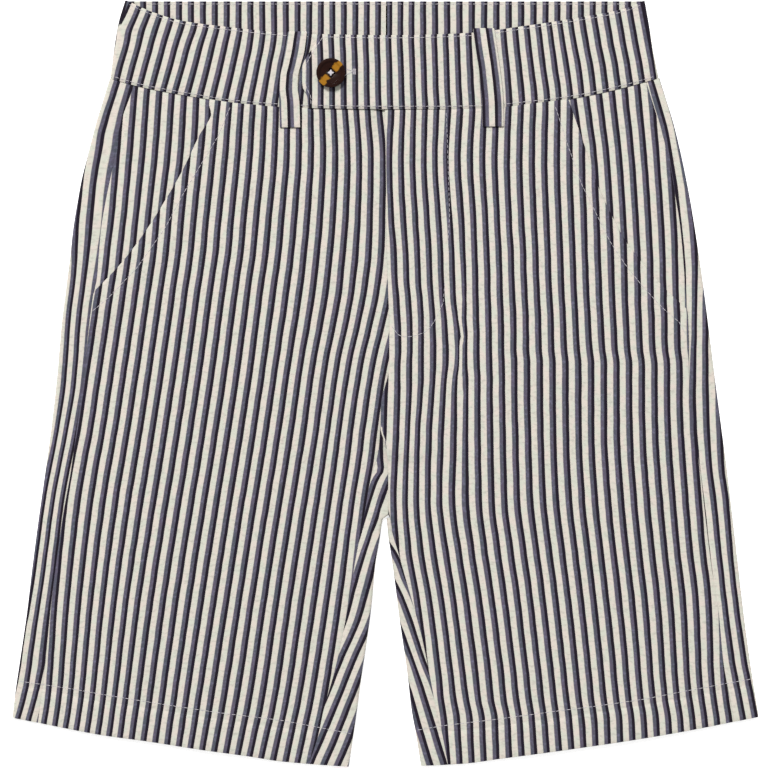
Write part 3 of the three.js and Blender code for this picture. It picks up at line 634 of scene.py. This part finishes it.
# Stripes lean outward down the front of the band, and stand upright on its inside at the back
BAND_STRIPES_RIGHT = table(
    "height 0 5 10 12", (200, -133.5, -100.5, -71, -58.5), (190, -137.5, -103, -71.5, -59),
    (185, -138.5, -105, -72, -59.5), (172, -142, -108.5, -74.5, -62), (151, -147.5, -114.5, -79, -65.5))
BAND_STRIPES_LEFT = table(
    "height 0 12 16 19 22 28", (203, -35, 39, 64, 82, 99.5, 139), (184, -34.5, 39.5, 65, 84.5, 102.5, 142.5),
    (171, -34, 40, 66.5, 86, 105, 145), (158, -34, 40.5, 67.5, 88, 106.5, 147), (151, -34, 41, 68, 88.5, 107, 148.5))
BACK_BAND_STRIPES = table(
    "number x", (-20, -130), (-11, -72), (-5, -34), (1, 3), (3, 15), (10, 61), (13, 81), (21, 132))
LEGS["right"].update(band_stripes=BAND_STRIPES_RIGHT)
LEGS["left"].update(band_stripes=BAND_STRIPES_LEFT)
back_band_number = curve(BACK_BAND_STRIPES, "x", "number")


def band_level(leg, x):
    """The level of the front of the band: the left half lies higher where it laps over the right one"""
    if leg["side"] < 0:
        return BAND_LEVEL + 0 * x
    past = smooth((x - BAND_UNDERLAP_END - TAB_MARGIN) / FLY_FADE)
    return TAB_LEVEL + (BAND_LEVEL - TAB_LEVEL) * past


for leg_name, leg in LEGS.items():
    side = leg["side"]
    radius = (BAND_LEVEL - BAND_HALF) / 2
    edge = leg["band_edge"](BACK_TOP) + 0 * BAND_ROWS
    for _ in range(8):
        edge = leg["band_edge"](waist_seam(side * edge) * (1 - BAND_ROWS) + BACK_TOP * BAND_ROWS)
    outer = edge - radius - BAND_CLOTH / 2
    end = leg["band_end"](BAND_ROWS)
    turns = TURNS[::-1]
    along = np.linspace(0, 1, 68)[1:-1] * (outer - end - NEAR_EDGE[-1])
    to_front = np.concatenate([along, outer - end - NEAR_EDGE[::-1]], 1)
    out = np.concatenate([
        np.linspace(0, 1, INSIDE_COLUMNS + 1)[:-1] * (outer + BACK_LAP) - BACK_LAP,
        outer + radius * np.cos(turns), outer - to_front], 1)
    turned_to = INSIDE_COLUMNS + len(turns)
    on_front = np.arange(out.shape[1])[None, :] > INSIDE_COLUMNS + len(turns) // 2
    top = np.where(on_front, band_top(side * np.where(on_front, out, outer)), BACK_TOP)
    bottom = waist_seam(side * out)
    height = bottom + (top - bottom) * BAND_ROWS
    level = np.concatenate([
        np.full((len(BAND_ROWS), INSIDE_COLUMNS), BAND_HALF),
        np.broadcast_to(BAND_HALF + radius * (1 + np.sin(turns)), (len(BAND_ROWS), len(turns))),
        band_level(leg, side * (outer - to_front))], 1)
    from_end = np.where(on_front, out - end, np.inf)
    dips = np.minimum(seam_dip(np.minimum(top - height, from_end), depth=0.3, width=1.2),
                      seam_dip(height - bottom, depth=0.7, width=1.8))
    level = level + dips * np.where(on_front, 1, INSIDE_DIP)
    number = stripe_number(leg["band_stripes"], side * out, height)
    front_edge = stripe_number(leg["band_stripes"], side * outer, height[:, INSIDE_COLUMNS:INSIDE_COLUMNS + 1])
    back_edge = back_band_number(side * outer)
    repeats_apart = np.round(front_edge + side * math.pi * radius / REPEAT - back_edge).mean().round()
    number[:, :INSIDE_COLUMNS] = back_band_number(side * out[:, :INSIDE_COLUMNS]) + repeats_apart
    around = np.linspace(0, 1, len(turns))
    number[:, INSIDE_COLUMNS:turned_to] = (back_edge + repeats_apart) * (1 - around) + front_edge * around
    piece, area = sheet_of_cloth(f"waistband_{leg_name}_cloth", out, height, level, number, side,
                                 thickness=BAND_CLOTH)
    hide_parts(f"waistband_{leg_name}")


# Belt loops: narrow strips of seersucker, folded and pressed, that stand a little off the waistband. Each is sewn
# down at the band's top edge and just below its seam.
LOOP_CLOTH, LOOP_GAP, LOOP_ARCH, LOOP_STEP = 1.0, 0.25, 0.5, 3
LOOP_RIGHT = table(
    "height x width", (190.2, -48, 10.2), (180, -49.4, 10.9), (173, -51, 10), (166, -52.5, 9.7), (159, -52.8, 9.9),
    (152.5, -52.2, 11.3), (138.5, -51.8, 11.5))
LOOP_LEFT = table(
    "height x width", (192, 52.3, 11.5), (179, 54.1, 11.5), (166, 55.9, 11.5), (152, 57.2, 11.5), (139, 57.5, 11.5))
LOOP_STRIPE = {"right": (-1.4, -6.6), "left": (-5.6, -6.7)}

for leg_name, sizes in (("right", LOOP_RIGHT), ("left", LOOP_LEFT)):
    leg = LEGS[leg_name]
    share = np.linspace(0, 1, 34)[:, None]
    height = sizes["height"][0] + (sizes["height"][-1] - sizes["height"][0]) * share
    middle = curve(sizes, "height", "x")(height)
    half = curve(sizes, "height", "width")(height) / 2
    across = np.array([-1, -0.93, -0.82, -0.6, -0.3, 0, 0.3, 0.6, 0.82, 0.93, 1]) * half
    on_band = smooth((height - waist_seam(middle)) / LOOP_STEP)
    panel_top = front_level(leg, np.abs(middle), height)
    band_face = band_level(leg, middle) + BAND_HALF - CLOTH / 2
    level = np.maximum(panel_top, panel_top + (band_face - panel_top) * on_band) + CLOTH / 2
    level = level + (LOOP_GAP + LOOP_CLOTH / 2) + LOOP_ARCH * np.sin(math.pi * share)
    level = level + seam_dip(half - np.abs(across), depth=0.25, width=1.2)
    edge_at, pitch = LOOP_STRIPE[leg_name]
    number = np.broadcast_to((across - edge_at) / pitch, level.shape)
    out = middle + across
    piece, area = sheet_of_cloth(f"belt_loop_{leg_name}_cloth", out, np.broadcast_to(height, out.shape),
                                 level, number, 1, thickness=LOOP_CLOTH)
    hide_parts(f"belt_loop_{leg_name}")


# Stitching: lockstitch in pale cotton-wrapped thread, 3 mm a stitch, sunk a little into the cloth. The eye sees
# it as a light broken line over the dark stripes, and hardly at all over the cream.
STITCH_PITCH, STITCH_LENGTH, THREAD, STITCH_TAPER = 2.9, 2.8, 0.33, 1.6

thread = bpy.data.materials.new("cotton_wrapped_sewing_thread")
thread.use_nodes = True
shader = thread.node_tree.nodes["Principled BSDF"]
shader.inputs["Roughness"].default_value = 0.6
shader.inputs["Sheen Weight"].default_value = 0.1
place = add_node(thread, "ShaderNodeTexCoord").outputs["Object"]
tone = add_node(thread, "ShaderNodeTexNoise", {"Vector": place, "Scale": 400.0})
tones = add_node(thread, "ShaderNodeMix", {
    0: tone.outputs["Fac"], 6: linear("aaa5b0"), 7: linear("c4bfbe")}, data_type="RGBA")
thread.node_tree.links.new(tones.outputs[2], shader.inputs["Base Color"])
# The twist of the thread's plies, 0.25 mm apart
twist = add_node(thread, "ShaderNodeTexWave", {"Vector": place, "Scale": 1250.0, "Distortion": 1.0},
                 bands_direction="DIAGONAL")
plies = add_node(thread, "ShaderNodeBump", {
    "Height": twist.outputs["Fac"], "Strength": 0.4, "Distance": 0.00005})
thread.node_tree.links.new(plies.outputs["Normal"], shader.inputs["Normal"])

# One stitch along X, rounded at both ends, to be copied
bpy.ops.mesh.primitive_uv_sphere_add(segments=8, ring_count=8, radius=0.5, rotation=(0, math.pi / 2, 0))
one_stitch = bpy.context.object
bpy.ops.object.transform_apply(location=True, rotation=True, scale=True)
stitch_corners = np.array([v.co for v in one_stitch.data.vertices])
stitch_faces = [list(face.vertices) for face in one_stitch.data.polygons]
stitch_corners[:, 0] = np.sign(stitch_corners[:, 0]) * np.abs(2 * stitch_corners[:, 0]) ** STITCH_TAPER / 2
bpy.data.objects.remove(one_stitch)


OUTSIDE = 50


def sewn(name, lines, carriers, below=False, pitch=STITCH_PITCH, length=STITCH_LENGTH, width=THREAD, rise=0.05):
    """Copies the stitch along lines of (x, y) places, each copy laid on the cloth that is found there"""
    graph = bpy.context.evaluated_depsgraph_get()
    trees = [BVHTree.FromObject(bpy.data.objects[carrier], graph) for carrier in carriers]
    sign = -1 if below else 1

    def surface(x, y):
        hits = [tree.ray_cast((x * MM, y * MM, sign * OUTSIDE * MM), (0, 0, -sign))[0] for tree in trees]
        found = [hit.z / MM for hit in hits if hit is not None]
        return None if not found else (min(found) if below else max(found))

    corners, faces = [], []
    for line in lines:
        line = np.array(line, float)
        reached = np.concatenate([[0], np.cumsum(np.hypot(*np.diff(line, axis=0).T))])
        count = max(1, round(reached[-1] / pitch))
        for i in range(count):
            ends = np.array([-0.5, 0, 0.5]) * length + (i + 0.5) * reached[-1] / count
            x, y = (np.interp(ends, reached, line[:, k]) for k in (0, 1))
            z = [surface(*xy) for xy in zip(x, y)]
            if None in z:
                continue
            direction = np.array([x[2] - x[0], y[2] - y[0], z[2] - z[0]])
            direction /= np.linalg.norm(direction)
            sideways = np.cross([0, 0, 1], direction)
            sideways /= np.linalg.norm(sideways)
            up = np.cross(direction, sideways)
            arch = sign * (rise - 0.5 * width * (2 * stitch_corners[:, 0]) ** 4)
            local = (stitch_corners[:, :1] * length * direction + stitch_corners[:, 1:2] * width * sideways
                     + (stitch_corners[:, 2] * width + arch)[:, None] * up)
            faces += [[len(corners) * len(stitch_corners) + v for v in face] for face in stitch_faces]
            corners.append(local + [x[1], y[1], (z[0] + z[2]) / 4 + z[1] / 2])
    piece = new_piece(name, np.concatenate(corners), faces, thread)
    bpy.ops.object.shade_smooth()
    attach(piece, "root")
    return piece


def sampled(first, last, height_at, step=4):
    """A line of places from one X to another at the height a function gives"""
    xs = np.linspace(first, last, max(2, int(abs(last - first) / step)))
    return [(x, float(height_at(x))) for x in xs]


# How far the lines lie from the edges that they follow
FROM_TOP, FROM_SEAM, FROM_END = 1.4, 1.3, 1.6
TAB_X = -40


def in_top(x):
    """Just inside the front waistband's top edge"""
    return band_top(x) - FROM_TOP


def over_seam(x):
    """Just above the waist seam"""
    return waist_seam(x) + FROM_SEAM


tab_edge = [(float(LEGS["left"]["band_end"](share)) + FROM_END,
             float(waist_seam(TAB_X) * (1 - share) + band_top(TAB_X) * share))
            for share in (0.04, 0.15, 0.3, 0.44, 0.58, 0.7, 0.8, 0.9, 0.96)]
HEM_LINE_RIGHT = [(-198.5, -160.2), (-168.8, -164.5), (-146.7, -168.3), (-123.4, -172.1), (-90.5, -177),
                  (-57, -181.3), (-18.1, -188.8)]
HEM_LINE_LEFT = [(16.4, -186.7), (31, -184.2), (56.4, -181.1), (89.9, -176.4), (111.5, -173.7), (137.9, -169.9),
                 (163.3, -165.1), (196.8, -159.1)]
MOUTH_LINE_RIGHT = [(-84.3, 149.7), (-91, 133.5), (-108.9, 104.1), (-119.1, 84.9), (-134.2, 63.3),
                    (-149.6, 47.1), (-158.8, 39.3)]
MOUTH_LINE_LEFT = [(91, 149.7), (97.8, 128.7), (105, 108.2), (112.8, 92.5), (120.5, 77), (128.7, 64.6),
                   (136.8, 54.3), (144.2, 46.1), (150.3, 39.8), (157.7, 33.6), (161.8, 26.4)]
FLY_LINE = [(32.1, 147), (32.8, 133), (34, 90.9), (32.6, 67.1), (30.5, 43.9)]
FLY_END_LINE = [(30.5, 43.9), (25.9, 34.2), (23.4, 30.6), (20.2, 27.9), (16.6, 26.6), (12.9, 25.8), (8.5, 25.8),
                (6, 26.9), (3.8, 30), (2.6, 32)]
bands = ["waistband_right_cloth", "waistband_left_cloth"]
fronts = ["front_right_cloth", "front_left_cloth"]
backs = ["back_right_cloth", "back_left_cloth"]
sewn("waistband_stitching", [
    sampled(-139, -42, in_top), sampled(-34, 137, in_top),
    sampled(-147, -41, over_seam), sampled(-37, 144, over_seam), tab_edge], bands)
sewn("back_waistband_stitching", [sampled(-130, 130, lambda x: BACK_TOP - FROM_END)], bands)
sewn("hem_stitching", [HEM_LINE_RIGHT, HEM_LINE_LEFT], fronts + backs)
sewn("pocket_stitching", [
    MOUTH_LINE_RIGHT, MOUTH_LINE_LEFT, [(-158.5, 50.4), (-159.6, 39.6)], [(-99.2, 150.8), (-98, 149.4)]], fronts)
sewn("fly_stitching", [FLY_LINE], fronts, width=0.26, rise=-0.02)
sewn("fly_end_stitching", [FLY_END_LINE], fronts)
sewn("buttonhole_stitching", [
    [(-22.7, 166.3), (-18.3, 168.4)], [(-21.4, 169.7), (-18.3, 168.9)], [(-18, 166.8), (-18, 170)],
    [(-17.4, 166.8), (-17.4, 170)], [(-16.8, 166.9), (-16.8, 169.9)]], bands, pitch=0.8, length=1.1, width=0.55)
sewn("underside_stitching", [
    HEM_LINE_RIGHT, HEM_LINE_LEFT, sampled(-144, 141, over_seam),
    [(-1.4, 146), (-1.4, -30)], [(1.4, 146), (1.4, -30)]], bands + backs, below=True, rise=-0.1)


# Button: four holes, turned and polished from tortoiseshell resin, sewn through the right end of the waistband and
# pushed through the tab's buttonhole.
BUTTON_X, BUTTON_Y = -30, 167.5
BUTTON_RADIUS, BUTTON_HEIGHT, BUTTON_ROUNDING = 7.8, 2.4, 0.35
BUTTON_RIM, BUTTON_SLOPE, BUTTON_DISH = 1.5, 0.9, 0.7
HOLE_RADIUS, HOLE_OFFSET = 0.95, 1.7
BUTTON_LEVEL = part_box("button")[0].z

# Tortoiseshell resin: near-black brown with a cloudy amber band, clear and glossy
tortoiseshell = bpy.data.materials.new("polished_tortoiseshell_resin")
tortoiseshell.use_nodes = True
shader = tortoiseshell.node_tree.nodes["Principled BSDF"]
shader.inputs["Roughness"].default_value = 0.22
shader.inputs["IOR"].default_value = 1.52
shader.inputs["Specular IOR Level"].default_value = 0.08
shader.inputs["Coat Weight"].default_value = 0.05
shader.inputs["Coat Roughness"].default_value = 0.08
place = add_node(tortoiseshell, "ShaderNodeTexCoord").outputs["Object"]
turned_place = add_node(tortoiseshell, "ShaderNodeMapping", {
    "Vector": place, "Location": (BUTTON_X * MM, BUTTON_Y * MM, 0.0), "Rotation": (0, 0, math.radians(47))},
    vector_type="TEXTURE")
cloud = add_node(tortoiseshell, "ShaderNodeTexNoise", {
    "Vector": turned_place.outputs["Vector"], "Scale": 260.0, "Detail": 3.0})
parts = add_node(tortoiseshell, "ShaderNodeSeparateXYZ", {"Vector": turned_place.outputs["Vector"]})
wavy = add_node(tortoiseshell, "ShaderNodeMapRange", {
    "Value": cloud.outputs["Fac"], "From Min": 0.3, "From Max": 0.7, "To Min": -0.0007, "To Max": 0.0007})
off_band = add_node(tortoiseshell, "ShaderNodeMath", {
    0: parts.outputs["Y"], 1: wavy.outputs["Result"]}, operation="ADD")
distance = add_node(tortoiseshell, "ShaderNodeMath", {0: off_band.outputs["Value"]}, operation="ABSOLUTE")
amber_share = add_node(tortoiseshell, "ShaderNodeMapRange", {
    "Value": distance.outputs["Value"], "From Min": 0.0013, "From Max": 0.0019, "To Min": 1.0, "To Max": 0.0})
from_centre = add_node(tortoiseshell, "ShaderNodeMath", {0: parts.outputs["X"]}, operation="ABSOLUTE")
off_centre = add_node(tortoiseshell, "ShaderNodeMapRange", {
    "Value": from_centre.outputs["Value"], "From Min": 0.0019, "From Max": 0.0028, "To Max": 1.0})
in_band = add_node(tortoiseshell, "ShaderNodeMath", {
    0: amber_share.outputs["Result"], 1: off_centre.outputs["Result"]}, operation="MULTIPLY")
ground = add_node(tortoiseshell, "ShaderNodeMix", {
    0: cloud.outputs["Fac"], 6: linear("140706"), 7: linear("28110a")}, data_type="RGBA")
amber = add_node(tortoiseshell, "ShaderNodeMix", {
    0: in_band.outputs["Value"], 6: ground.outputs[2], 7: linear("94651a")}, data_type="RGBA")
tortoiseshell.node_tree.links.new(amber.outputs[2], shader.inputs["Base Color"])

bpy.ops.object.select_all(action="DESELECT")
bpy.ops.mesh.primitive_cylinder_add(
    vertices=64, radius=BUTTON_RADIUS * MM, depth=BUTTON_HEIGHT * MM,
    location=(BUTTON_X * MM, BUTTON_Y * MM, BUTTON_LEVEL + BUTTON_HEIGHT * MM / 2))
button = bpy.context.object
button.name = "button_tortoiseshell"
bpy.ops.object.transform_apply(location=True, rotation=True, scale=True)
bpy.ops.object.mode_set(mode="EDIT")
bpy.ops.mesh.select_all(action="DESELECT")
bpy.ops.object.mode_set(mode="OBJECT")
for face in button.data.polygons:
    face.select = face.normal.z > 0.9
bpy.ops.object.mode_set(mode="EDIT")
bpy.ops.mesh.inset(thickness=BUTTON_RIM * MM)
bpy.ops.mesh.inset(thickness=BUTTON_SLOPE * MM, depth=-BUTTON_DISH * MM)
bpy.ops.object.mode_set(mode="OBJECT")
cutters = []
for side_x, side_y in ((1, 0), (0, 1), (-1, 0), (0, -1)):
    bpy.ops.mesh.primitive_cylinder_add(
        vertices=20, radius=HOLE_RADIUS * MM, depth=3 * BUTTON_HEIGHT * MM,
        location=((BUTTON_X + side_x * HOLE_OFFSET) * MM, (BUTTON_Y + side_y * HOLE_OFFSET) * MM, BUTTON_LEVEL))
    cutters.append(bpy.context.object)
for cutter in cutters:
    hole = button.modifiers.new("hole", "BOOLEAN")
    hole.operation, hole.object, hole.solver = "DIFFERENCE", cutter, "EXACT"
rounding = button.modifiers.new("turned_edges", "BEVEL")
rounding.width, rounding.segments, rounding.limit_method = BUTTON_ROUNDING * MM, 3, "ANGLE"
rounding.angle_limit = math.radians(35)
select_only(button)
for modifier in [m.name for m in button.modifiers]:
    bpy.ops.object.modifier_apply(modifier=modifier)
bpy.ops.object.shade_smooth_by_angle(angle=math.radians(35))
for cutter in cutters:
    bpy.data.objects.remove(cutter)
button.data.materials.append(tortoiseshell)
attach(button, "root")
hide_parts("button")

# The thread that holds it crosses over the four holes, in two flattened knots
KNOT_HALF_SIZE, KNOT_RISE = (1.7, 0.7, 0.3), 0.15
for turn in (0, math.pi / 2):
    bpy.ops.object.select_all(action="DESELECT")
    bpy.ops.mesh.primitive_uv_sphere_add(
        segments=16, ring_count=10, radius=MM, scale=KNOT_HALF_SIZE, rotation=(0, 0, turn),
        location=(BUTTON_X * MM, BUTTON_Y * MM, BUTTON_LEVEL + (BUTTON_HEIGHT - BUTTON_DISH + KNOT_RISE) * MM))
    knot = bpy.context.object
    knot.name = f"button_thread_{'across' if turn else 'along'}"
    bpy.ops.object.transform_apply(location=True, rotation=True, scale=True)
    bpy.ops.object.shade_smooth()
    knot.data.materials.append(thread)
    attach(knot, "root")
